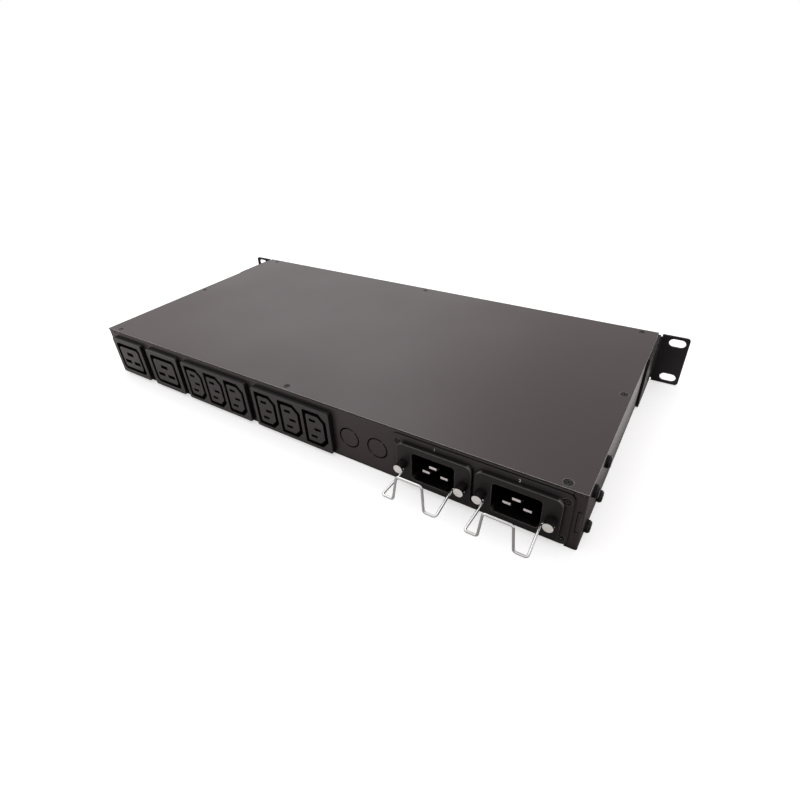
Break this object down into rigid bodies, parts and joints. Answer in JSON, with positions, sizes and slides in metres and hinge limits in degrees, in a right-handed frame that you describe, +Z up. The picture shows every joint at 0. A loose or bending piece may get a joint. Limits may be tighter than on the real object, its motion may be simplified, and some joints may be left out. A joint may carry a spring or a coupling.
{
  "type": "rack static transfer switch",
  "caption": "One-unit rack power transfer unit: folded black case with rack ears, power inlets with swinging wire bails and rows of outlets behind, and a display with push buttons in front.",
  "frame": {"origin": "middle of the case's underside", "axes": "+X across the case towards the large outlets, +Y from the rack front to the connector side, +Z up"},
  "size_m": [0.4826, 0.2518, 0.0436],
  "materials": {
    "case_paint": "satin black powder coat",
    "ear_paint": "satin black powder coat",
    "black_screws": "black-plated steel",
    "zinc_steel": "bright zinc plate",
    "stud_nickel": "bright nickel plate, turned",
    "bail_wire": "bright drawn wire",
    "inlet_black": "satin moulded black",
    "pin_nickel": "nickel-plated",
    "outlet_black": "satin moulded black",
    "contact_brass": "formed strip",
    "bezel_black": "fine moulded grain",
    "smoked_window": "clear smoked acrylic",
    "display_glass": "display face",
    "light_pipe": "clear light pipe",
    "button_grey": "moulded grey",
    "board_laminate": "green solder mask",
    "black_moulding": "moulded",
    "sink_aluminium": "extruded, plain",
    "relay_case": "moulded blue",
    "film_case": "moulded yellow",
    "capacitor_sleeve": "shrink sleeve",
    "core_steel": "varnished laminations",
    "terminal_green": "moulded green",
    "fuse_body": "white tube with caps",
    "lead_jacket": "insulated lead",
    "earth_jacket": "insulated earth lead",
    "ribbon_grey": "flat cable"
  },
  "bodies": {
    "case": {"base_tray": "case_paint", "clinch_nuts": "zinc_steel", "top_cover": "case_paint", "cover_screws": "black_screws", "ear_left": "ear_paint", "ear_right": "ear_paint", "ear_screws": "black_screws", "side_screws": "black_screws", "inlet_plate": "case_paint", "inlet_plate_screws": "black_screws", "inlet_housing_a": "inlet_black", "inlet_housing_b": "inlet_black", "inlet_pins_a": "pin_nickel", "inlet_pins_b": "pin_nickel", "bail_studs": "stud_nickel", "stud_nuts": "zinc_steel", "outlet_large_1": "outlet_black", "outlet_large_2": "outlet_black", "outlet_bank_1": "outlet_black", "outlet_bank_2": "outlet_black", "large_contacts": "contact_brass", "bank_contacts": "contact_brass", "bank_busbars": "contact_brass", "display_bezel": "bezel_black", "display_window": "smoked_window", "display_module": "display_glass", "display_board": "board_laminate", "status_lights": "light_pipe", "key_switches": "black_moulding", "main_board": "board_laminate", "board_standoffs": "zinc_steel", "board_screws": "zinc_steel", "thyristor_modules": "black_moulding", "heat_sink_a": "sink_aluminium", "heat_sink_b": "sink_aluminium", "transfer_relays": "relay_case", "film_capacitors": "film_case", "storage_capacitors": "capacitor_sleeve", "supply_transformers": "core_steel", "current_sensors": "black_moulding", "input_terminals": "terminal_green", "output_terminals": "terminal_green", "control_board": "board_laminate", "control_chips": "black_moulding", "fuse_holders": "black_moulding", "fuses": "fuse_body", "earth_stud": "zinc_steel", "input_leads_a": "lead_jacket", "input_leads_b": "lead_jacket", "output_leads": "lead_jacket", "earth_lead": "earth_jacket", "ribbon_cable": "ribbon_grey"},
    "bail_a": {"bail_a": "bail_wire"},
    "bail_b": {"bail_b": "bail_wire"},
    "button_menu": {"button_menu": "button_grey"},
    "button_up": {"button_up": "button_grey"},
    "button_down": {"button_down": "button_grey"}
  },
  "joints": [
    {"name": "bail_a_swing", "type": "hinge", "parent": "case", "child": "bail_a", "pos_m": [-0.1257, 0.1163, 0.0208], "axis": [1, 0, 0], "range_deg": [-98, 83]},
    {"name": "bail_b_swing", "type": "hinge", "parent": "case", "child": "bail_b", "pos_m": [-0.1804, 0.1163, 0.0208], "axis": [1, 0, 0], "range_deg": [-98, 85]},
    {"name": "button_menu_press", "type": "slide", "parent": "case", "child": "button_menu", "axis": [0, 1, 0], "range_m": [0, 0.0008], "stiffness_N_per_m": 250, "springref_m": -0.0016},
    {"name": "button_up_press", "type": "slide", "parent": "case", "child": "button_up", "axis": [0, 1, 0], "range_m": [0, 0.0008], "stiffness_N_per_m": 250, "springref_m": -0.0016},
    {"name": "button_down_press", "type": "slide", "parent": "case", "child": "button_down", "axis": [0, 1, 0], "range_m": [0, 0.0008], "stiffness_N_per_m": 250, "springref_m": -0.0016}
  ]
}
